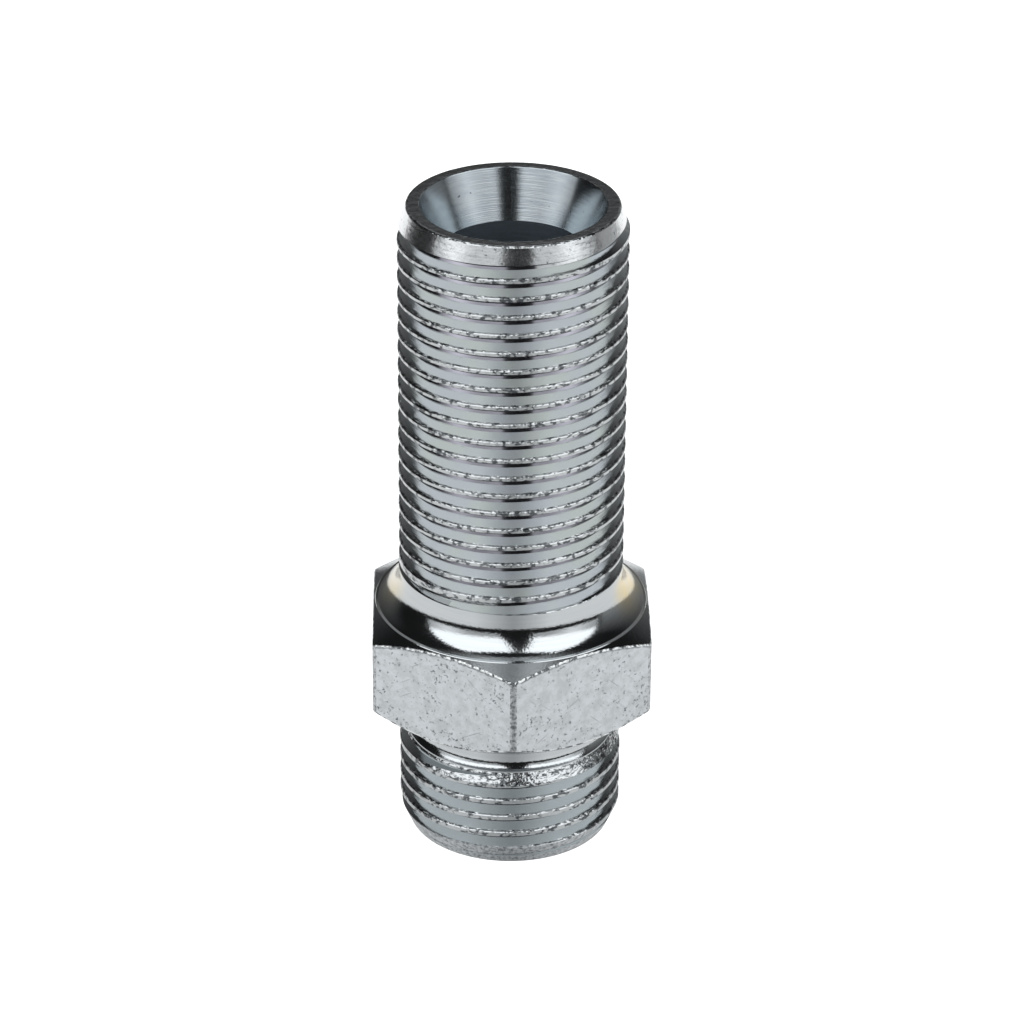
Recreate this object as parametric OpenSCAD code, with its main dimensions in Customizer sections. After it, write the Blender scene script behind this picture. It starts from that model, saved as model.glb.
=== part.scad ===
// Straight male fitting for hydraulic lines: one steel body turned from hexagon bar, with a
// long and a short outside thread, a hexagon between them, a coned mouth and a through bore.
// Millimetres, +Z up, origin in the middle of the short end's face.

/* [Threads] */
// Outside diameter over the crests of both threads
thread_d = 17.85; // [17:0.05:18.5]
// Rise of the thread in one turn
pitch = 1.5; // [1.4:0.05:1.75]
// Depth of the thread groove
thread_depth = 0.92; // [0.7:0.02:0.95]
// Width of the flat left on each crest
crest_flat = 0.19; // [0.15:0.01:0.25]

/* [Long end] */
// Height of the whole fitting
total_h = 53.9; // [50:0.1:60]
// Outside radius of the rim's flat ring
rim_r = 8.2; // [7.8:0.05:8.4]
// Height of the lead-in chamfer under the rim
rim_chamfer_h = 1.9; // [1:0.1:2.5]
// Length of plain neck left between the long thread and the cove
neck_h = 0.6; // [0.3:0.05:3]

/* [Hexagon] */
// Width across the flats
across_flats = 22; // [21.8:0.1:24]
// Height of the lower end of the six upright edges
edge_low = 12.97; // [12.6:0.01:14]
// Length of the six upright edges
edge_h = 5.98; // [4:0.01:9]
// Slope of the upper corner chamfer in degrees
top_slope = 25; // [15:1:30]
// Slope of the lower corner chamfer in degrees
under_slope = 35; // [15:1:35]
// Width of the flat's edge left outside the circle where the cove meets the upper chamfer
cove_margin = 0.2; // [0.1:0.05:0.6]
// Height of the cove between the hexagon and the neck
cove_h = 2.61; // [2.3:0.01:3]
// Width of the flat's edge left outside the circle of the underside
under_margin = 0.4; // [0.1:0.05:0.8]

/* [Short end] */
// Depth of the relief groove under the hexagon, below the thread's crests
relief_depth = 1.075; // [0.9:0.025:1.3]
// Height where the relief groove's lower fillet begins
relief_low = 9.45; // [9.2:0.01:9.7]
// Radius of the fillets in the relief groove
relief_fillet = 1.1; // [0.8:0.05:1.2]
// Height of the coned shoulder from the lower fillet out to the thread's crests
shoulder_h = 0.98; // [0.8:0.02:1.2]
// Radius of the end face
base_r = 8.13; // [7.6:0.05:8.3]
// Height of the lead-in chamfer at the end
base_chamfer_h = 1.83; // [1:0.05:2.5]

/* [Bore] */
// Diameter of the through bore
bore_d = 11; // [9:0.1:12]
// Radius of the mouth at the rim
mouth_r = 7.2; // [6.8:0.05:7.6]
// Angle between the cone's wall and the axis in degrees
cone_angle = 24; // [12:1:30]
// Width of the small chamfer at the bore's lower end
bore_edge = 0.4; // [0.2:0.05:0.6]

/* [Hidden] */
$fn = 96;
major_r = thread_d / 2;
root_r = major_r - thread_depth;
// steps in one turn of the groove, and how far its cutter stands out of the metal
groove_steps = 30;
groove_lift = 0.06;
flank = tan(30);
root_half = (pitch - crest_flat) / 2 - thread_depth * flank;
// hexagon and cove
corner_r = across_flats / sqrt(3);
cove_r = across_flats / 2 - cove_margin;
cove_low = edge_low + edge_h + (corner_r - cove_r) * tan(top_slope);
cove_top = cove_low + cove_h;
cove_turn = 2 * atan((cove_r - major_r) / cove_h);
cove_radius = cove_h / sin(cove_turn);
under_r = across_flats / 2 - under_margin;
under_z = edge_low - (corner_r - under_r) * tan(under_slope);
long_thread_low = cove_top + neck_h;
// relief groove
relief_r = major_r - relief_depth;
shoulder_turn = 56.3;
shoulder_r = relief_r + relief_fillet * (1 - cos(shoulder_turn));
shoulder_z = relief_low - relief_fillet * sin(shoulder_turn);
shoulder_low = shoulder_z - shoulder_h;
// the short thread's last groove runs out a little under the shoulder's upper edge
short_thread_high = shoulder_z - 0.2;
runout_r = shoulder_r + (major_r - shoulder_r) * 0.2 / shoulder_h;
// bore and cone
bore_r = bore_d / 2;
cone_depth = (mouth_r - bore_r) / tan(cone_angle);
// each thread's groove passes this height on the side of the hexagon's front edge
long_pass = 49.12;
short_pass = 5.48;

// half section of the turned outside, with the hexagon's chamfers run out past its corners
module turned_profile() {
    over = 1;
    difference() {
        polygon([
            [0, 0], [base_r, 0], [major_r, base_chamfer_h], [major_r, shoulder_low],
            [shoulder_r, shoulder_z], [relief_r, relief_low], [relief_r, under_z],
            [under_r, under_z], [corner_r + over, edge_low + over * tan(under_slope)],
            [corner_r + over, edge_low + edge_h - over * tan(top_slope)], [cove_r, cove_low],
            [major_r, cove_top], [major_r, total_h - rim_chamfer_h], [rim_r, total_h],
            [0, total_h]]);
        translate([major_r + cove_radius, cove_top]) circle(cove_radius);
        translate([relief_r + relief_fillet, relief_low]) circle(relief_fillet);
    }
    // fillet where the relief groove meets the hexagon's underside
    difference() {
        translate([relief_r - 0.2, under_z - relief_fillet])
            square([relief_fillet + 0.2, relief_fillet + 0.2]);
        translate([relief_r + relief_fillet, under_z - relief_fillet]) circle(relief_fillet);
    }
}

// hexagon bar with an edge facing the front
module hexagon_bar() {
    rotate([0, 0, 30]) cylinder(r = corner_r, h = total_h, $fn = 6);
}

// through bore with the coned mouth above and a broken edge below
module bore() {
    rotate_extrude() polygon([
        [0, -1], [bore_r + bore_edge + 1, -1], [bore_r, bore_edge],
        [bore_r, total_h - cone_depth], [mouth_r + tan(cone_angle), total_h + 1],
        [0, total_h + 1]]);
}

// the groove's section, lifted out of the metal by the given amount
function section(lift) = let (
        r = root_r + lift,
        top = major_r + groove_lift,
        wide = root_half + (top - r) * flank)
    [[r, -root_half], [top, -wide], [top, wide], [r, root_half]];

// how far the groove is lifted at step i of n: each end rises to a lift over some steps
function fade(i, n, low_end, high_end) = max(0, low_end[0] * (1 - i / low_end[1]),
    high_end[0] * (1 - (n - i) / high_end[1]));

// right-hand helical groove between two heights, passing the front edge at the height given
module groove(pass, low, high, low_end, high_end) {
    n = round((high - low) / pitch * groove_steps);
    points = [
        for (i = [0 : n])
            let (z = low + i * pitch / groove_steps, a = (z - pass) / pitch * 360 - 90)
                for (p = section(fade(i, n, low_end, high_end)))
                    [p[0] * cos(a), p[0] * sin(a), z + p[1]]];
    sides = [
        for (i = [0 : n - 1]) for (k = [0 : 3])
            let (a = 4 * i + k, b = 4 * i + (k + 1) % 4)
                for (t = [[a, b, a + 4], [b, b + 4, a + 4]]) t];
    ends = [[3, 2, 1, 0], [4 * n, 4 * n + 1, 4 * n + 2, 4 * n + 3]];
    polyhedron(points, concat(sides, ends));
}

module fitting_body() color([0.72, 0.74, 0.75]) {
    difference() {
        intersection() {
            hexagon_bar();
            rotate_extrude() turned_profile();
        }
        bore();
        groove(long_pass, long_thread_low, total_h - 1.1, [thread_depth - 0.03, groove_steps * 0.4],
            [rim_r + 0.3 - root_r, groove_steps * 0.5]);
        groove(short_pass, 0.6, short_thread_high, [base_r + 0.2 - root_r, groove_steps],
            [runout_r - 0.03 - root_r, groove_steps * 0.3]);
    }
}

fitting_body();
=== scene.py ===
from collections import namedtuple
from math import asin, atan, cos, degrees, pi, radians, sin, sqrt, tan

import bmesh
import bpy
from mathutils import Matrix, Vector, noise


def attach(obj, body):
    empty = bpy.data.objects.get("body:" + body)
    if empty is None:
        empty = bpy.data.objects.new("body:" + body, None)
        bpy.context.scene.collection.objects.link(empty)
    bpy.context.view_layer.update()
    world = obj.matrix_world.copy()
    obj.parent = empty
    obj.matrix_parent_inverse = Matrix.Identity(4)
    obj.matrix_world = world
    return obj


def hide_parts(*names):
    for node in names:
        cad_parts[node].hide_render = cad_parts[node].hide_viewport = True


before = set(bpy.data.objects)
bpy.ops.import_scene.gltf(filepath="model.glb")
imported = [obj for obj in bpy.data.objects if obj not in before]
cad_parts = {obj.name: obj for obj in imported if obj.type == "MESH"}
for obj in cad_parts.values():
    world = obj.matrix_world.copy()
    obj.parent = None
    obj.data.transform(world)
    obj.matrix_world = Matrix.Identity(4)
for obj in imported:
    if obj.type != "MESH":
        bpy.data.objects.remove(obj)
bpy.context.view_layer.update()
scene = bpy.context.scene
scene.view_settings.view_transform = "Standard"
MM = 0.001

# Camera at the photograph's place: a long lens about a foot away, 27 degrees above the table, and
# turned a little so that the hexagon's front edge stands just right of the middle. The whole
# picture leans to the right by 0.4 degrees.
LENS = 144.56
CAMERA_TURN = radians(-1.2)
CAMERA_PITCH = radians(27.47)
CAMERA_ROLL = 0.0068
CAMERA_PLACE = (0.046 * MM, -288.26 * MM, 177.3 * MM)
camera = bpy.data.objects.new("camera", bpy.data.cameras.new("camera"))
camera.data.lens = LENS
camera.data.sensor_width = 36
camera.data.clip_start = 0.02
camera.data.clip_end = 50
scene.collection.objects.link(camera)
camera.matrix_world = (
    Matrix.Rotation(CAMERA_TURN, 4, "Z")
    @ Matrix.Translation(CAMERA_PLACE)
    @ Matrix.Rotation(pi / 2 - CAMERA_PITCH, 4, "X")
    @ Matrix.Rotation(CAMERA_ROLL, 4, "Z")
)
scene.camera = camera

# Studio room: two tall soft boxes stand left and right of the camera with a dark gap between
# them, dimmer at the foot, and the left one leans away. A dim ceiling hangs above and pale walls
# stand beside and behind the fitting. The rest is nearly unlit. Angles are in degrees.
BOX_LIGHT = 2.15
FOOT_LIGHT = 0.66
FOOT_SIDE_LIGHT = 0.68
FOOT_SIDE = (50, 74)
FOOT_TOP = (22.0, 30.0)
RIGHT_BOX = (21, 90)
LEFT_BOX = (-84, 60)
LEFT_BOX_EDGE = -15.4
LEFT_BOX_LEAN = -0.28
BOX_LOW = 12
BOX_HIGH = 72
BOX_DROP_FROM = 30.0
BOX_DROP = 0.1
CEILING_LIGHT = 0.47
CEILING_SPAN = (92, 150)
CEILING_WIDTH = (6.0, 24.0)
WALL_LIGHT = 0.38
WALL_FADE = (-4.0, 42.0)
RIGHT_WALL = (94, 172)
LEFT_WALL = (-165, -128)
LEFT_WALL_SHARE = 0.5
ROOM_LIGHT = 0.015
TO_DEGREES = 180 / pi


def linear(hex_colour):
    """A colour written as it looks on a screen, turned to linear light."""
    parts = [int(hex_colour[i:i + 2], 16) / 255 for i in (1, 3, 5)]
    return [c / 12.92 if c <= 0.04045 else ((c + 0.055) / 1.055) ** 2.4 for c in parts] + [1]


def add(tree, kind, inputs=(), out=None, **settings):
    """Adds a node with its settings, values and links. Gives the node, or one of its outputs."""
    node = tree.nodes.new(kind)
    for name, value in settings.items():
        setattr(node, name, value)
    for name, value in dict(inputs).items():
        if isinstance(value, bpy.types.NodeSocket):
            tree.links.new(value, node.inputs[name])
        else:
            node.inputs[name].default_value = value
    return node if out is None else node.outputs[out]


def between(tree, value, low, high, soft):
    """One between the two limits and zero outside them, with soft edges."""
    rise = add(tree, "ShaderNodeMapRange", {"Value": value, "From Min": low - soft,
        "From Max": low + soft}, 0, interpolation_type="SMOOTHSTEP")
    fall = add(tree, "ShaderNodeMapRange", {"Value": value, "From Min": high - soft,
        "From Max": high + soft, "To Min": 1.0, "To Max": 0.0}, 0, interpolation_type="SMOOTHSTEP")
    return add(tree, "ShaderNodeMath", {0: rise, 1: fall}, 0, operation="MULTIPLY")


world = bpy.data.worlds.new("studio room")
world.use_nodes = True
scene.world = world
room = world.node_tree
room.nodes.clear()
across, ahead, upward = add(room, "ShaderNodeSeparateXYZ",
    {"Vector": add(room, "ShaderNodeTexCoord", out="Generated")}).outputs
front = add(room, "ShaderNodeMath", {0: ahead, 1: -1.0}, 0, operation="MULTIPLY")
turn = add(room, "ShaderNodeMath", {0: across, 1: front}, 0, operation="ARCTAN2")
azimuth = add(room, "ShaderNodeMath", {0: turn, 1: TO_DEGREES, 2: -degrees(CAMERA_TURN)}, 0,
    operation="MULTIPLY_ADD")
rise = add(room, "ShaderNodeMath", {0: upward}, 0, operation="ARCSINE")
elevation = add(room, "ShaderNodeMath", {0: rise, 1: TO_DEGREES}, 0, operation="MULTIPLY")
reach = add(room, "ShaderNodeMath", {0: azimuth}, 0, operation="ABSOLUTE")

# the boxes' outlines: the left one leans, and both reach lower towards the sides
leaning = add(room, "ShaderNodeMath", {0: elevation, 1: LEFT_BOX_LEAN, 2: azimuth}, 0,
    operation="MULTIPLY_ADD")
left_box = add(room, "ShaderNodeMath", {0: between(room, azimuth, *LEFT_BOX, 1.0),
    1: between(room, leaning, -200, LEFT_BOX_EDGE, 1.0)}, 0, operation="MULTIPLY")
sides = add(room, "ShaderNodeMath", {0: between(room, azimuth, *RIGHT_BOX, 1.0), 1: left_box}, 0,
    operation="ADD")
past = add(room, "ShaderNodeMath", {0: reach, 1: BOX_DROP_FROM}, 0, operation="SUBTRACT")
past = add(room, "ShaderNodeMath", {0: past, 1: 0.0}, 0, operation="MAXIMUM")
raised = add(room, "ShaderNodeMath", {0: past, 1: BOX_DROP, 2: elevation}, 0,
    operation="MULTIPLY_ADD")
height = add(room, "ShaderNodeMath", {0: between(room, raised, BOX_LOW, 200, 1.5),
    1: between(room, elevation, -90, BOX_HIGH, 1.5)}, 0, operation="MULTIPLY")
boxes = add(room, "ShaderNodeMath", {0: sides, 1: height}, 0, operation="MULTIPLY")
foot = add(room, "ShaderNodeMath", {0: between(room, reach, *FOOT_SIDE, 14.0),
    1: FOOT_SIDE_LIGHT, 2: FOOT_LIGHT}, 0, operation="MULTIPLY_ADD")
box_light = add(room, "ShaderNodeMapRange", {"Value": elevation, "From Min": FOOT_TOP[0],
    "From Max": FOOT_TOP[1], "To Min": foot, "To Max": BOX_LIGHT}, 0)

# the ceiling, by the angle over the fitting and the distance aside
over = add(room, "ShaderNodeMath", {0: upward, 1: front}, 0, operation="ARCTAN2")
over = add(room, "ShaderNodeMath", {0: over, 1: TO_DEGREES}, 0, operation="MULTIPLY")
aside = add(room, "ShaderNodeMath", {0: across}, 0, operation="ABSOLUTE")
aside = add(room, "ShaderNodeMath", {0: aside, 1: TO_DEGREES}, 0, operation="MULTIPLY")
ceiling = add(room, "ShaderNodeMapRange", {"Value": aside, "From Min": CEILING_WIDTH[0],
    "From Max": CEILING_WIDTH[1], "To Min": CEILING_LIGHT, "To Max": 0.0}, 0,
    interpolation_type="SMOOTHSTEP")

# the walls, brightest near the floor
wall = add(room, "ShaderNodeMapRange", {"Value": elevation, "From Min": WALL_FADE[0],
    "From Max": WALL_FADE[1], "To Min": WALL_LIGHT, "To Max": 0.0}, 0)
walls = add(room, "ShaderNodeMath", {0: between(room, azimuth, *LEFT_WALL, 12.0),
    1: LEFT_WALL_SHARE, 2: between(room, azimuth, *RIGHT_WALL, 5.0)}, 0, operation="MULTIPLY_ADD")
dim = add(room, "ShaderNodeMath", {0: wall, 1: walls, 2: ROOM_LIGHT}, 0, operation="MULTIPLY_ADD")
dim = add(room, "ShaderNodeMath", {0: ceiling, 1: between(room, over, *CEILING_SPAN, 5.0), 2: dim},
    0, operation="MULTIPLY_ADD")
light = add(room, "ShaderNodeMath", {0: boxes, 1: box_light, 2: dim}, 0, operation="MULTIPLY_ADD")
shine = add(room, "ShaderNodeBackground", {"Color": linear("#FBFDFF"), "Strength": light}, 0)
add(room, "ShaderNodeOutputWorld", {"Surface": shine})

# Table: a plain white board. Its own light makes it as white as the photograph's ground, and it
# keeps the soft shadow under the fitting. A reflection sees it less bright straight in front,
# under the gap between the boxes, and close to the fitting.
# The glow that reflections see is painted: painted shade straight in front, under the gap between the
# boxes, and a painted shadow close to the fitting.
TABLE_RADIUS = 0.52
FRONT_STRIP = (radians(2), radians(36))
STRIP_TURN = radians(1)
FRONT_SHADE_GLOW = 0.13
SIDE_GLOW = 0.74
NEAR = (0.012, 0.04)
NEAR_SHADOW_GLOW = 0.7
bm = bmesh.new()
bmesh.ops.create_circle(bm, cap_ends=True, radius=TABLE_RADIUS, segments=96)
table_mesh = bpy.data.meshes.new("table")
bm.to_mesh(table_mesh)
bm.free()
table = bpy.data.objects.new("table", table_mesh)
scene.collection.objects.link(table)
board = bpy.data.materials.new("matt white board")
board.use_nodes = True
tree = board.node_tree
tree.nodes.clear()
path = add(tree, "ShaderNodeLightPath").outputs
mirrored = add(tree, "ShaderNodeMath",
    {0: path["Is Glossy Ray"], 1: path["Is Transmission Ray"]}, 0, operation="MAXIMUM")
spot = add(tree, "ShaderNodeTexCoord", out="Object")
x, y, z = add(tree, "ShaderNodeSeparateXYZ", {"Vector": spot}).outputs
front = add(tree, "ShaderNodeMath", {0: y, 1: -1.0}, 0, operation="MULTIPLY")
bearing = add(tree, "ShaderNodeMath", {0: x, 1: front}, 0, operation="ARCTAN2")
bearing = add(tree, "ShaderNodeMath", {0: bearing, 1: STRIP_TURN}, 0, operation="SUBTRACT")
bearing = add(tree, "ShaderNodeMath", {0: bearing}, 0, operation="ABSOLUTE")
# painted shade: reflections see the board dim in a strip straight in front and bright to the sides, and
# dimmer still near the fitting
side = add(tree, "ShaderNodeMapRange", {"Value": bearing, "From Min": FRONT_STRIP[0],
    "From Max": FRONT_STRIP[1], "To Min": FRONT_SHADE_GLOW, "To Max": SIDE_GLOW}, 0)
far = add(tree, "ShaderNodeVectorMath", {0: spot}, "Value", operation="LENGTH")
painted_near_shadow = add(tree, "ShaderNodeMapRange", {"Value": far, "From Min": NEAR[0],
    "From Max": NEAR[1], "To Min": NEAR_SHADOW_GLOW, "To Max": 1.0}, 0)
painted_reflected_glow = add(tree, "ShaderNodeMath", {0: side, 1: painted_near_shadow}, 0, operation="MULTIPLY")
seen = add(tree, "ShaderNodeMath", {0: mirrored, 1: painted_reflected_glow, 2: path["Is Camera Ray"]}, 0,
    operation="MULTIPLY_ADD")
glow = add(tree, "ShaderNodeEmission", {"Color": linear("#FFFFFF"), "Strength": seen}, 0)
paint = add(tree, "ShaderNodeBsdfDiffuse", {"Color": linear("#C8C8C8")}, 0)
both = add(tree, "ShaderNodeAddShader", {0: glow, 1: paint}, 0)
add(tree, "ShaderNodeOutputMaterial", {"Surface": both})
table_mesh.materials.append(board)

# The fitting is one piece of free-cutting steel, turned from hexagon bar and zinc plated.
# Its turned form comes first: the outside from the short end up, the coned mouth and the bore.
MAJOR = 8.925
TOTAL = 53.9
RIM = 8.2
RIM_CHAMFER = 1.9
ACROSS = 22.0
CORNER = ACROSS / sqrt(3)
EDGE_LOW = 12.97
EDGE_TOP = EDGE_LOW + 5.98
TOP_SLOPE = tan(radians(25))
UNDER_SLOPE = tan(radians(35))
COVE_R = ACROSS / 2 - 0.2
COVE_H = 2.61
COVE_LOW = EDGE_TOP + (CORNER - COVE_R) * TOP_SLOPE
COVE_TOP = COVE_LOW + COVE_H
COVE_TURN = 2 * atan((COVE_R - MAJOR) / COVE_H)
COVE_RADIUS = COVE_H / sin(COVE_TURN)
UNDER_R = ACROSS / 2 - 0.4
UNDER_Z = EDGE_LOW - (CORNER - UNDER_R) * UNDER_SLOPE
RELIEF_R = 7.85
RELIEF_LOW = 9.46
UPPER_FILLET = 1
FILLET = 1.24
FILLET_TURN = 50
SHOULDER_R = RELIEF_R + FILLET * (1 - cos(radians(FILLET_TURN)))
SHOULDER_Z = RELIEF_LOW - FILLET * sin(radians(FILLET_TURN))
SHOULDER_LOW = SHOULDER_Z - 0.96
BASE_R = 8.13
BASE_CHAMFER = 1.83
BORE = 5.5
BORE_EDGE = 0.4
MOUTH = 7.2
CONE_ANGLE = radians(24)
CONE_TOP = TOTAL - (MOUTH - BORE) / tan(CONE_ANGLE)
ROUND_STEPS = 192


def arc(centre_r, centre_z, radius, start, end, steps):
    """Points of an arc in the half section, from one angle to the other in degrees."""
    turns = [radians(start + (end - start) * i / steps) for i in range(steps + 1)]
    return [(centre_r + radius * cos(t), centre_z + radius * sin(t)) for t in turns]


half_section = [
    (BORE + BORE_EDGE, 0), (BASE_R, 0), (MAJOR, BASE_CHAMFER), (MAJOR, SHOULDER_LOW),
    (SHOULDER_R, SHOULDER_Z - 0.11),
    *arc(RELIEF_R + FILLET, RELIEF_LOW, FILLET, 180 + FILLET_TURN, 180, 8),
    *arc(RELIEF_R + UPPER_FILLET, UNDER_Z - UPPER_FILLET, UPPER_FILLET, 180, 90, 12),
    (UNDER_R, UNDER_Z), (CORNER + 1, EDGE_LOW + UNDER_SLOPE), (CORNER + 1, EDGE_TOP - TOP_SLOPE),
    (COVE_R + 0.035, COVE_LOW - 0.016), (COVE_R, COVE_LOW + 0.03),
    *arc(MAJOR + COVE_RADIUS, COVE_TOP, COVE_RADIUS, 180 + degrees(COVE_TURN), 180, 16)[1:],
    (MAJOR, TOTAL - RIM_CHAMFER), (RIM, TOTAL), (MOUTH, TOTAL), (BORE, CONE_TOP), (BORE, BORE_EDGE),
]
# the spin starts half a step round, so that no line of it falls on a corner of the hexagon
body = bmesh.new()
start = pi / ROUND_STEPS
corners = [body.verts.new((r * cos(start) * MM, r * sin(start) * MM, z * MM))
    for r, z in half_section]
loop = [body.edges.new((a, b)) for a, b in zip(corners, corners[1:] + corners[:1])]
bmesh.ops.spin(body, geom=corners + loop, axis=(0, 0, 1), cent=(0, 0, 0), steps=ROUND_STEPS,
    angle=2 * pi, use_merge=True)
bmesh.ops.recalc_face_normals(body, faces=body.faces)


def soften(bm, edges, width, segments):
    """Rounds the edges by a width in millimetres."""
    bmesh.ops.bevel(bm, geom=edges, offset=width * MM, offset_type="OFFSET", segments=segments,
        profile=0.5, affect="EDGES", material=-1)


# each turned edge is broken by the tool and by tumbling: radius, height and width
for edge_r, edge_z, width in ((BASE_R, 0, 0.12), (RIM, TOTAL, 0.14), (MOUTH, TOTAL, 0.07),
        (MAJOR, BASE_CHAMFER, 0.05), (MAJOR, SHOULDER_LOW, 0.05),
        (MAJOR, TOTAL - RIM_CHAMFER, 0.05)):
    ring = [e for e in body.edges if all(abs(v.co.xy.length / MM - edge_r) < 0.005
        and abs(v.co.z / MM - edge_z) < 0.005 for v in e.verts)]
    soften(body, ring, width, 3)

# Hexagon: six flats are cut off the turned collar, with one edge to the front. They keep the
# bar's drawn skin, its corners are round, and the chamfers leave a bruised edge on them.
CORNER_ROUND = 0.62
CORNER_CUTS = 7
BRUISE_WIDTH = 0.12
corner_middle = (ACROSS / 2 - CORNER_ROUND) / cos(radians(30))
for side in range(6):
    for step in range(CORNER_CUTS):
        turn = radians(60 * step / CORNER_CUTS)
        reach = corner_middle * cos(turn - radians(30)) + CORNER_ROUND
        way = Matrix.Rotation(radians(60 * side) + turn, 3, "Z") @ Vector((1, 0, 0))
        cut = bmesh.ops.bisect_plane(body, geom=body.verts[:] + body.edges[:] + body.faces[:],
            plane_co=way * reach * MM, plane_no=way, clear_outer=True)
        bmesh.ops.contextual_create(body,
            geom=[e for e in cut["geom_cut"] if isinstance(e, bmesh.types.BMEdge)])
bmesh.ops.recalc_face_normals(body, faces=body.faces)


def is_upright(face):
    """True for one of the six flats and for the strips of their round corners."""
    return abs(face.normal.z) < 0.01 and face.calc_center_median().xy.length > 10.9 * MM


bruised = [e for e in body.edges if sum(is_upright(f) for f in e.link_faces) == 1
    and degrees(e.calc_face_angle()) > 12]
soften(body, bruised, BRUISE_WIDTH, 3)
bmesh.ops.recalc_face_normals(body, faces=body.faces)
mesh = bpy.data.meshes.new("fitting")
body.to_mesh(mesh)
body.free()
fitting = bpy.data.objects.new("fitting", mesh)
scene.collection.objects.link(fitting)

# Threads: right-hand, 1.5 mm pitch, rolled, so the grooves have round roots and the crests are
# left narrow and rough. Each groove is one long cutter wound round the axis.
PITCH = 1.5
FLANK = tan(radians(30))
DEEP = MAJOR - 0.92
ROUGH = MAJOR - 0.19
LONG_PASS = 49.08
SHORT_PASS = 5.315


def groove_section(crest, floor):
    """Half section of a groove from its lower side up: crest edge, flank, floor, upper flank."""
    half = (PITCH - crest) / 2
    foot = half - (MAJOR - DEEP) * FLANK
    floor_r, floor_z = DEEP + floor * sin(radians(21)), foot - floor * cos(radians(21))
    corner = (floor_z + half - (MAJOR - floor_r) * FLANK) / (tan(radians(40)) - FLANK)
    return [(MAJOR + 0.12, -half - 0.06), (MAJOR, -half - 0.035),
        (MAJOR - 0.05, 0.05 * FLANK - half), (ROUGH, (MAJOR - ROUGH) * FLANK - half),
        (floor_r + corner, (MAJOR - floor_r - corner) * FLANK - half), (floor_r, floor_z),
        (DEEP, foot), (MAJOR + 0.12, half + 0.12 * FLANK)]


def groove(name, passes, section, low, high, low_end, high_end):
    """The solid that a groove takes out. At each end it rises by a lift over some turns."""
    start = radians((low - passes) / PITCH * 360 - 90)
    steps = round((high - low) / PITCH * ROUND_STEPS)
    bm = bmesh.new()
    ring = [bm.verts.new((r * cos(start) * MM, r * sin(start) * MM, (low + z) * MM))
        for r, z in section]
    for a, b in zip(ring, ring[1:] + ring[:1]):
        bm.edges.new((a, b))
    cutter_mesh = bpy.data.meshes.new(name)
    bm.to_mesh(cutter_mesh)
    bm.free()
    cutter = bpy.data.objects.new(name, cutter_mesh)
    scene.collection.objects.link(cutter)
    wind = cutter.modifiers.new("wind", "SCREW")
    wind.steps = wind.render_steps = steps
    wind.angle = 2 * pi * steps / ROUND_STEPS
    wind.screw_offset = PITCH / ROUND_STEPS * steps * MM
    bm = bmesh.new()
    bm.from_object(cutter, bpy.context.evaluated_depsgraph_get())
    cutter.modifiers.clear()
    bmesh.ops.holes_fill(bm, edges=[e for e in bm.edges if e.is_boundary], sides=0)
    bmesh.ops.recalc_face_normals(bm, faces=bm.faces)
    for v in bm.verts:
        along = (v.co.xy.angle_signed((0, -1)) % (2 * pi)) / (2 * pi)
        turns = round((v.co.z / MM - passes) / PITCH - along)
        height = passes + PITCH * (turns + along)
        lift = max(0, low_end[0] * (1 - (height - low) / PITCH / low_end[1]),
            high_end[0] * (1 - (high - height) / PITCH / high_end[1]))
        out = v.co.xy.length / MM
        # the edge where the groove meets the crest below it wavers a little
        if MAJOR - 0.06 < out < MAJOR + 0.01:
            v.co.z += 0.03 * MM * noise.noise(v.co / MM * 1.9)
        v.co.xy *= 1 + lift / out
    bm.to_mesh(cutter_mesh)
    bm.free()
    return cutter


long_groove = groove("long groove", LONG_PASS, groove_section(0.262, 0.22), COVE_TOP + 0.6,
    TOTAL - 1.1, (MAJOR - DEEP - 0.03, 0.4), (RIM + 0.3 - DEEP, 0.5))
short_groove = groove("short groove", SHORT_PASS, groove_section(0.36, 0.1), 0.6,
    SHOULDER_Z - 0.2, (BASE_R + 0.2 - DEEP, 1), (SHOULDER_R + 0.1 - DEEP, 0.3))
for cutter in (long_groove, short_groove):
    cut = fitting.modifiers.new(cutter.name, "BOOLEAN")
    cut.operation = "DIFFERENCE"
    cut.solver = "MANIFOLD"
    cut.object = cutter
shaped = bpy.data.meshes.new_from_object(
    fitting.evaluated_get(bpy.context.evaluated_depsgraph_get()))
fitting.modifiers.clear()
fitting.data = shaped
for cutter in (long_groove, short_groove):
    bpy.data.objects.remove(cutter)
shaped.shade_smooth()
shaped.set_sharp_from_angle(angle=radians(9))
even = fitting.modifiers.new("even normals", "WEIGHTED_NORMAL")
even.keep_sharp = True

# Bright turned zinc: neck, cove, chamfers and end faces. Tool rings run round it, a yellow stain
# lies beside the neck, and the step under the hexagon is painted darker as painted shade.
STAIN_MIDDLE = COVE_TOP - 0.9
UNDER_SHADE_MIDDLE = UNDER_Z - 0.4
Place = namedtuple("Place", "around out up point wrapped")


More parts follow.
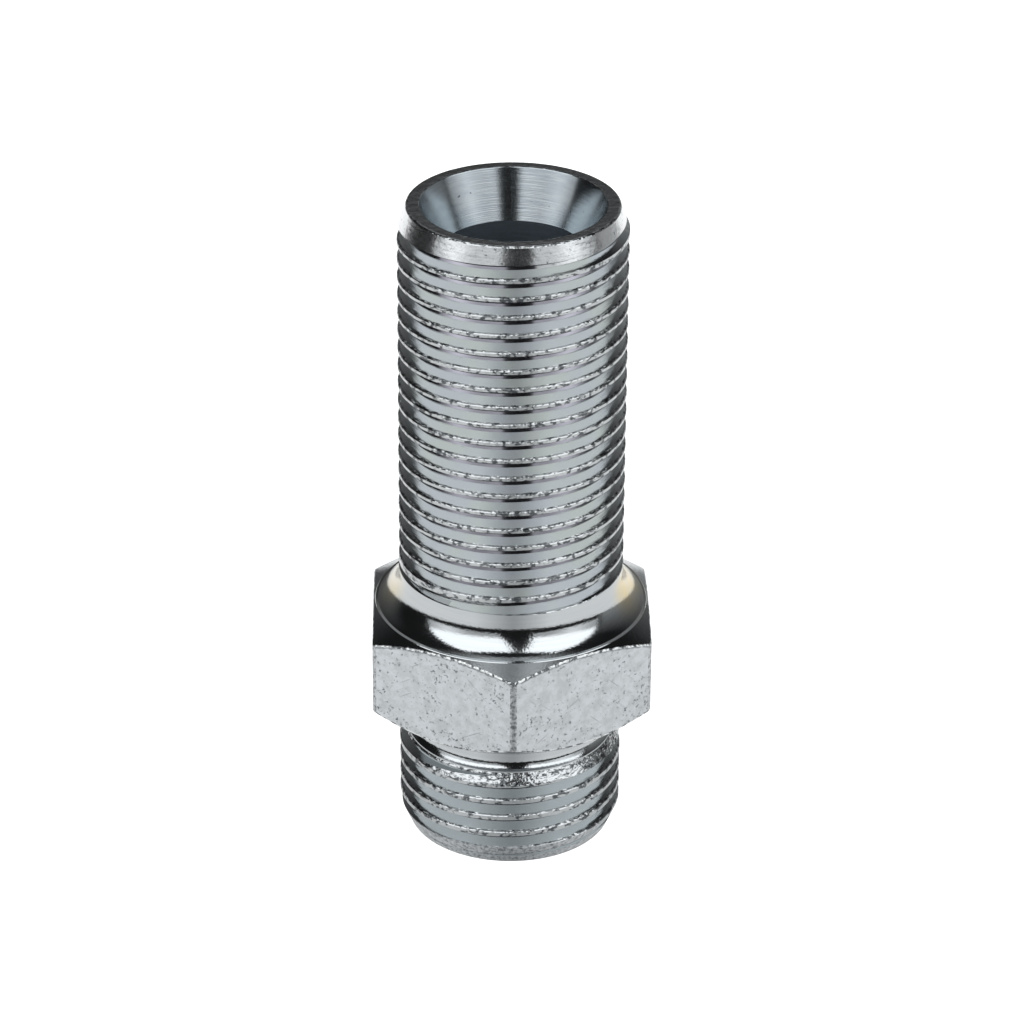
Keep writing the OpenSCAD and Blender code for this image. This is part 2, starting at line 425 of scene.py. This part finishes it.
def place(tree):
    """Millimetres on the fitting: round the axis, out from it, up, the plain point, and the
    first three joined to one point."""
    point = add(tree, "ShaderNodeVectorMath",
        {"Vector": add(tree, "ShaderNodeTexCoord", out="Object"), "Scale": 1000.0}, 0,
        operation="SCALE")
    x, y, up = add(tree, "ShaderNodeSeparateXYZ", {"Vector": point}).outputs
    out = add(tree, "ShaderNodeVectorMath",
        {0: add(tree, "ShaderNodeCombineXYZ", {0: x, 1: y}, 0)}, "Value", operation="LENGTH")
    front = add(tree, "ShaderNodeMath", {0: y, 1: -1.0}, 0, operation="MULTIPLY")
    turn = add(tree, "ShaderNodeMath", {0: x, 1: front}, 0, operation="ARCTAN2")
    around = add(tree, "ShaderNodeMath", {0: turn, 1: MAJOR}, 0, operation="MULTIPLY")
    wrapped = add(tree, "ShaderNodeCombineXYZ", {0: around, 1: out, 2: up}, 0)
    return Place(around, out, up, point, wrapped)


def zinc(name, rough):
    """A zinc plated finish: the material, its nodes, the shader of a metal, and its Place."""
    finish = bpy.data.materials.new(name)
    finish.use_nodes = True
    tree = finish.node_tree
    shader = tree.nodes["Principled BSDF"]
    shader.inputs["Metallic"].default_value = 1.0
    shader.inputs["Roughness"].default_value = rough
    return finish, tree, shader, place(tree)


def streaks(tree, wrapped, stretch, scale, detail, rough):
    """Noise with so many grains to the millimetre round the axis, outwards and upwards."""
    way = add(tree, "ShaderNodeMapping", {"Vector": wrapped, "Scale": stretch}, 0)
    return add(tree, "ShaderNodeTexNoise",
        {"Vector": way, "Scale": scale, "Detail": detail, "Roughness": rough}, "Fac")


def spots(tree, vector, scale, detail, rough, low, high, most=1.0):
    """Soft-edged spots, so many to the millimetre, where noise passes from low to high."""
    grain = add(tree, "ShaderNodeTexNoise",
        {"Vector": vector, "Scale": scale, "Detail": detail, "Roughness": rough}, "Fac")
    return add(tree, "ShaderNodeMapRange", {"Value": grain, "From Min": low, "From Max": high,
        "To Max": most}, 0, interpolation_type="SMOOTHSTEP")


def band(tree, up, middle, outer, inner, most=1.0):
    """A belt round the fitting: the most near its middle height and nothing past the outer."""
    off = add(tree, "ShaderNodeMath", {0: up, 1: middle}, 0, operation="SUBTRACT")
    off = add(tree, "ShaderNodeMath", {0: off}, 0, operation="ABSOLUTE")
    return add(tree, "ShaderNodeMapRange", {"Value": off, "From Min": outer, "From Max": inner,
        "To Max": most}, 0, interpolation_type="SMOOTHSTEP")


turned, tree, shader, at = zinc("zinc on turned steel", 0.11)
rings = streaks(tree, at.wrapped, (0.15, 6.0, 9.0), 1.0, 3.0, 0.6)
grain = add(tree, "ShaderNodeTexNoise",
    {"Vector": at.point, "Scale": 6.0, "Detail": 1.0, "Roughness": 0.5}, "Fac")
height = add(tree, "ShaderNodeMath", {0: grain, 1: 3.0, 2: rings}, 0, operation="MULTIPLY_ADD")
bump = add(tree, "ShaderNodeBump",
    {"Height": height, "Strength": 1.0, "Distance": 0.0000022}, 0)
tree.links.new(bump, shader.inputs["Normal"])
shift = add(tree, "ShaderNodeMapRange", {"Value": rings, "From Min": 0.35, "From Max": 0.65}, 0,
    interpolation_type="SMOOTHSTEP")
clean = add(tree, "ShaderNodeMix", {0: shift, 6: linear("#B1B5B7"), 7: linear("#B6B9BA")}, 2,
    data_type="RGBA")
# painted shade: the step under the hexagon is darkened
painted_under_shade = band(tree, at.up, UNDER_SHADE_MIDDLE, 0.9, 0.3, 0.8)
clean = add(tree, "ShaderNodeMix", {0: painted_under_shade, 6: clean, 7: linear("#868C90")}, 2, data_type="RGBA")
right = add(tree, "ShaderNodeMapRange", {"Value": at.around, "From Min": 9.0, "From Max": 12.5}, 0,
    interpolation_type="SMOOTHSTEP")
left = add(tree, "ShaderNodeMapRange", {"Value": at.around, "From Min": -10.0, "From Max": -13.5,
    "To Max": 0.5}, 0, interpolation_type="SMOOTHSTEP")
stain = add(tree, "ShaderNodeMath", {0: right, 1: left}, 0, operation="ADD")
stain = add(tree, "ShaderNodeMath", {0: stain, 1: band(tree, at.up, STAIN_MIDDLE, 2.0, 0.7)}, 0,
    operation="MULTIPLY")
cloud = add(tree, "ShaderNodeTexNoise",
    {"Vector": at.wrapped, "Scale": 0.25, "Detail": 2.0, "Roughness": 0.5}, "Fac")
cloud = add(tree, "ShaderNodeMapRange", {"Value": cloud, "From Min": 0.3, "From Max": 0.6,
    "To Min": 0.5}, 0, interpolation_type="SMOOTHSTEP")
stain = add(tree, "ShaderNodeMath", {0: stain, 1: cloud}, 0, operation="MULTIPLY")
colour = add(tree, "ShaderNodeMix", {0: stain, 6: clean, 7: linear("#C9B57F")}, 2,
    data_type="RGBA")
tree.links.new(colour, shader.inputs["Base Color"])

# Matt zinc on the rim: its ring and chamfer were faced with a rougher feed and handled most, so
# they are paler, with a few grey specks.
matt, tree, shader, at = zinc("zinc on the rim", 0.19)
grain = add(tree, "ShaderNodeTexNoise",
    {"Vector": at.point, "Scale": 1.5, "Detail": 2.0, "Roughness": 0.55}, "Fac")
height = add(tree, "ShaderNodeMath", {0: grain, 1: 2.5,
    2: streaks(tree, at.wrapped, (0.2, 2.0, 3.0), 1.0, 2.0, 0.5)}, 0, operation="MULTIPLY_ADD")
bump = add(tree, "ShaderNodeBump", {"Height": height, "Strength": 1.0, "Distance": 0.000007}, 0)
tree.links.new(bump, shader.inputs["Normal"])
specks = spots(tree, at.point, 2.6, 3.0, 0.7, 0.6, 0.74)
colour = add(tree, "ShaderNodeMix", {0: specks, 6: linear("#E3E5E6"), 7: linear("#85898C")}, 2,
    data_type="RGBA")
tree.links.new(colour, shader.inputs["Base Color"])

# Drawn zinc on the flats: a matt skin with mottled plating, pits from the bar that gather in
# groups and at the lower edge, hair scratches, and a broken dark line of painted shadow under the upper
# edge.
drawn, tree, shader, at = zinc("zinc on drawn hexagon", 0.34)
low_edge = add(tree, "ShaderNodeMapRange", {"Value": at.up, "From Min": EDGE_LOW + 0.8,
    "From Max": EDGE_LOW - 1.2}, 0, interpolation_type="SMOOTHSTEP")
low_edge = add(tree, "ShaderNodeMath", {0: low_edge, 1: 0.3}, 0, operation="MULTIPLY")
groups = add(tree, "ShaderNodeTexNoise",
    {"Vector": at.point, "Scale": 0.4, "Detail": 2.0, "Roughness": 0.5}, "Fac")
groups = add(tree, "ShaderNodeMath", {0: groups, 1: 1.6, 2: low_edge}, 0,
    operation="MULTIPLY_ADD")
pits = add(tree, "ShaderNodeTexNoise",
    {"Vector": at.point, "Scale": 3.0, "Detail": 3.0, "Roughness": 0.7}, "Fac")
pits = add(tree, "ShaderNodeMath", {0: groups, 1: 0.12, 2: pits}, 0, operation="MULTIPLY_ADD")
dark = add(tree, "ShaderNodeMapRange", {"Value": pits, "From Min": 0.67, "From Max": 0.82}, 0,
    interpolation_type="SMOOTHSTEP")
for lean, slip in ((48, 0.0), (-35, 40.0)):
    way = add(tree, "ShaderNodeMapping", {"Vector": at.point, "Location": (slip, slip, slip),
        "Rotation": (0, radians(lean), 0), "Scale": (3.5, 3.5, 0.13)}, 0, vector_type="TEXTURE")
    scratch = spots(tree, way, 1.0, 1.0, 0.5, 0.71, 0.79, 0.45)
    dark = add(tree, "ShaderNodeMath", {0: dark, 1: scratch}, 0, operation="MAXIMUM")
# painted shadow: a broken dark line on each flat just under its upper edge
under_edge = add(tree, "ShaderNodeMath",
    {0: at.out, 1: -TOP_SLOPE, 2: EDGE_TOP + CORNER * TOP_SLOPE}, 0, operation="MULTIPLY_ADD")
under_edge = add(tree, "ShaderNodeMath", {0: under_edge, 1: at.up}, 0, operation="SUBTRACT")
broken_shadow_line = add(tree, "ShaderNodeTexNoise",
    {"Vector": at.point, "Scale": 1.6, "Detail": 2.0, "Roughness": 0.6}, "Fac")
broken_shadow_line = add(tree, "ShaderNodeMath", {0: broken_shadow_line, 1: 0.5, 2: under_edge}, 0,
    operation="MULTIPLY_ADD")
painted_edge_shadow = add(tree, "ShaderNodeMapRange", {"Value": broken_shadow_line, "From Min": 0.52, "From Max": 0.4,
    "To Max": 0.75}, 0, interpolation_type="SMOOTHSTEP")
dark = add(tree, "ShaderNodeMath", {0: dark, 1: painted_edge_shadow}, 0, operation="MAXIMUM")
mottle = spots(tree, at.point, 1.1, 4.0, 0.65, 0.35, 0.68)
skin = add(tree, "ShaderNodeMix", {0: mottle, 6: linear("#C1C5C8"), 7: linear("#B0B4B6")}, 2,
    data_type="RGBA")
colour = add(tree, "ShaderNodeMix", {0: dark, 6: skin, 7: linear("#6B6F72")}, 2,
    data_type="RGBA")
tree.links.new(colour, shader.inputs["Base Color"])
grain = add(tree, "ShaderNodeTexNoise",
    {"Vector": at.point, "Scale": 5.0, "Detail": 3.0, "Roughness": 0.75}, "Fac")
height = add(tree, "ShaderNodeMath", {0: dark, 1: -1.5, 2: grain}, 0, operation="MULTIPLY_ADD")
bump = add(tree, "ShaderNodeBump", {"Height": height, "Strength": 1.0, "Distance": 0.00001}, 0)
tree.links.new(bump, shader.inputs["Normal"])

# Rolled zinc on the thread's flanks: smooth and glossy, with faint streaks along the thread, and
# painted a little darker on the short end, as painted shade near the base.
rolled, tree, shader, at = zinc("zinc on rolled flanks", 0.15)
bump = add(tree, "ShaderNodeBump", {"Height": streaks(tree, at.wrapped, (0.5, 6.0, 6.0), 1.0, 3.0, 0.6),
    "Strength": 1.0, "Distance": 0.000006}, 0)
tree.links.new(bump, shader.inputs["Normal"])
sheen = add(tree, "ShaderNodeMix", {0: spots(tree, at.wrapped, 0.22, 2.0, 0.5, 0.4, 0.65),
    6: linear("#CFD3D6"), 7: linear("#D0D4D3")}, 2, data_type="RGBA")
# painted shade: the flanks darken towards the short end
painted_short_end_shade = add(tree, "ShaderNodeMapRange", {"Value": at.up, "From Min": SHOULDER_Z + 1,
    "From Max": SHOULDER_Z}, 0, interpolation_type="SMOOTHSTEP")
colour = add(tree, "ShaderNodeMix", {0: painted_short_end_shade, 6: sheen, 7: linear("#C8CDCF")}, 2,
    data_type="RGBA")
tree.links.new(colour, shader.inputs["Base Color"])

# Bruised zinc: the rough crests that rolling leaves, and edges knocked in the plating barrel.
# Its grains are about a third of a millimetre, so they sparkle and leave dark pits.
bruise, tree, shader, at = zinc("zinc on bruised edges", 0.2)
bump = add(tree, "ShaderNodeBump", {"Height": streaks(tree, at.wrapped, (0.75, 1.2, 1.2), 3.3, 1.0, 0.5),
    "Strength": 1.0, "Distance": 0.00008}, 0)
tree.links.new(bump, shader.inputs["Normal"])
way = add(tree, "ShaderNodeMapping", {"Vector": at.wrapped, "Scale": (0.8, 1.2, 1.2)}, 0)
colour = add(tree, "ShaderNodeMix", {0: spots(tree, way, 2.4, 2.0, 0.6, 0.5, 0.62),
    6: linear("#B2B5B6"), 7: linear("#585B5D")}, 2, data_type="RGBA")
tree.links.new(colour, shader.inputs["Base Color"])

# Worn and struck zinc: the hexagon's upright corners and the end chamfer are rubbed dark and
# pitted, and on its chamfered edges knocks left small bright facets between dark gaps.
edge_finishes = []
for name, lumps, depth, holes, shades in (
        ("zinc on worn corners", (4.6, 2.0, 0.6), 0.00006, (3.6, 3.0, 0.7, 0.42, 0.66),
            ("#B6B9BB", "#707375")),
        ("zinc on struck edges", (3.6, 1.0, 0.5), 0.00008, (2.4, 2.0, 0.6, 0.46, 0.6),
            ("#D6D9D9", "#5A5D5F"))):
    finish, tree, shader, at = zinc(name, 0.3)
    scale, detail, rough = lumps
    grain = add(tree, "ShaderNodeTexNoise",
        {"Vector": at.point, "Scale": scale, "Detail": detail, "Roughness": rough}, "Fac")
    bump = add(tree, "ShaderNodeBump", {"Height": grain, "Strength": 1.0, "Distance": depth}, 0)
    tree.links.new(bump, shader.inputs["Normal"])
    colour = add(tree, "ShaderNodeMix", {0: spots(tree, at.point, *holes), 6: linear(shades[0]),
        7: linear(shades[1])}, 2, data_type="RGBA")
    tree.links.new(colour, shader.inputs["Base Color"])
    edge_finishes.append(finish)
worn, struck = edge_finishes

# Roots of the threads: painted darker and a little violet, as painted shade in the recess.
# The strip is one or two tenths of a millimetre wide, too narrow to show a pattern.
painted_root_shade, tree, shader, at = zinc("thin zinc in the roots", 0.14)
# painted shade: a darker, slightly violet grey in the roots
shader.inputs["Base Color"].default_value = linear("#B4B3BD")

# Coned mouth: turned with a fine feed, a greyer face with rings round it and a few pits. The
# bore below it is drilled, a duller wall that light reaches only through its two ends; its bluish grey is
# painted light bounced into it.
reamed, tree, shader, at = zinc("zinc in the coned mouth", 0.16)
bump = add(tree, "ShaderNodeBump", {"Height": streaks(tree, at.wrapped, (0.12, 3.0, 10.0), 1.0, 3.0, 0.7),
    "Strength": 1.0, "Distance": 0.000008}, 0)
tree.links.new(bump, shader.inputs["Normal"])
way = add(tree, "ShaderNodeMapping", {"Vector": at.wrapped, "Scale": (0.5, 1.0, 3.0)}, 0)
face_colour = add(tree, "ShaderNodeMix", {0: spots(tree, way, 1.0, 2.0, 0.5, 0.3, 0.7),
    6: linear("#A1A8AD"), 7: linear("#A8AFB2")}, 2, data_type="RGBA")
colour = add(tree, "ShaderNodeMix", {0: spots(tree, at.point, 1.9, 2.0, 0.7, 0.7, 0.74),
    6: face_colour, 7: linear("#33373A")}, 2, data_type="RGBA")
tree.links.new(colour, shader.inputs["Base Color"])
drilled, tree, shader, at = zinc("zinc in the drilled bore", 0.45)
bump = add(tree, "ShaderNodeBump", {"Height": streaks(tree, at.wrapped, (0.12, 3.0, 6.0), 1.0, 3.0, 0.7),
    "Strength": 1.0, "Distance": 0.00002}, 0)
tree.links.new(bump, shader.inputs["Normal"])
# painted light: a bluish grey that stands in for light bounced into the bore
shader.inputs["Base Color"].default_value = linear("#97A2AB")

# Each face takes the finish of the form that it belongs to, told from its place, its slope and
# its size. The small faces are the strips that the rounding of edges left.
SQUARE_MM = MM * MM
CHAMFER_TOP = BASE_CHAMFER + 0.02


def finish_of(face):
    """The finish of a face."""
    out = face.center.xy.length / MM
    up = face.center.z / MM
    tilt = degrees(asin(max(-1, min(1, face.normal.z))))
    on_thread = COVE_TOP + 0.2 < up < TOTAL - 0.5 or 0.3 < up < SHOULDER_Z - 0.05
    on_hexagon = UNDER_Z + 0.2 < up < COVE_LOW and out > 10.9
    if EDGE_LOW - 1.2 < up < COVE_LOW and abs(tilt) < 1 and face.area > 50 * SQUARE_MM:
        return drawn
    if out < BORE + 0.01:
        return drilled
    if out < MOUTH + 0.001 and up > CONE_TOP:
        return reamed
    if on_hexagon and abs(tilt) < 2 and face.area < 3 * SQUARE_MM:
        return worn
    if on_hexagon and abs(tilt) < 60 and face.area < 0.1 * SQUARE_MM:
        return struck
    if on_thread and out < DEEP + 0.09 and 15 < tilt < 30:
        return painted_root_shade
    if on_thread and out < ROUGH and 45 < abs(tilt) < 66:
        return rolled
    if SHOULDER_LOW - 0.06 < up < SHOULDER_Z - 0.02 and 20 < tilt < 66:
        return bruise
    on_crest = COVE_TOP + 1.1 < up < TOTAL - RIM_CHAMFER + 0.04 or CHAMFER_TOP < up < SHOULDER_LOW
    if on_crest and out > ROUGH:
        return bruise
    if COVE_TOP + 0.4 < up < COVE_TOP + 1.2 and out > ROUGH and face.area < 0.03 * SQUARE_MM:
        return bruise
    if up > TOTAL - 0.12 and (RIM - 0.12 < out < RIM + 0.06 or out < MOUTH + 0.06):
        return bruise
    if up > TOTAL - RIM_CHAMFER:
        return matt
    if up < CHAMFER_TOP and out > BASE_R - 0.1:
        return worn
    return turned


finishes = [turned, matt, drawn, rolled, bruise, worn, struck, painted_root_shade, reamed, drilled]
shaped.materials.clear()
for finish in finishes:
    shaped.materials.append(finish)
for face in shaped.polygons:
    face.material_index = finishes.index(finish_of(face))

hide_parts("fitting_body")
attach(fitting, "root")
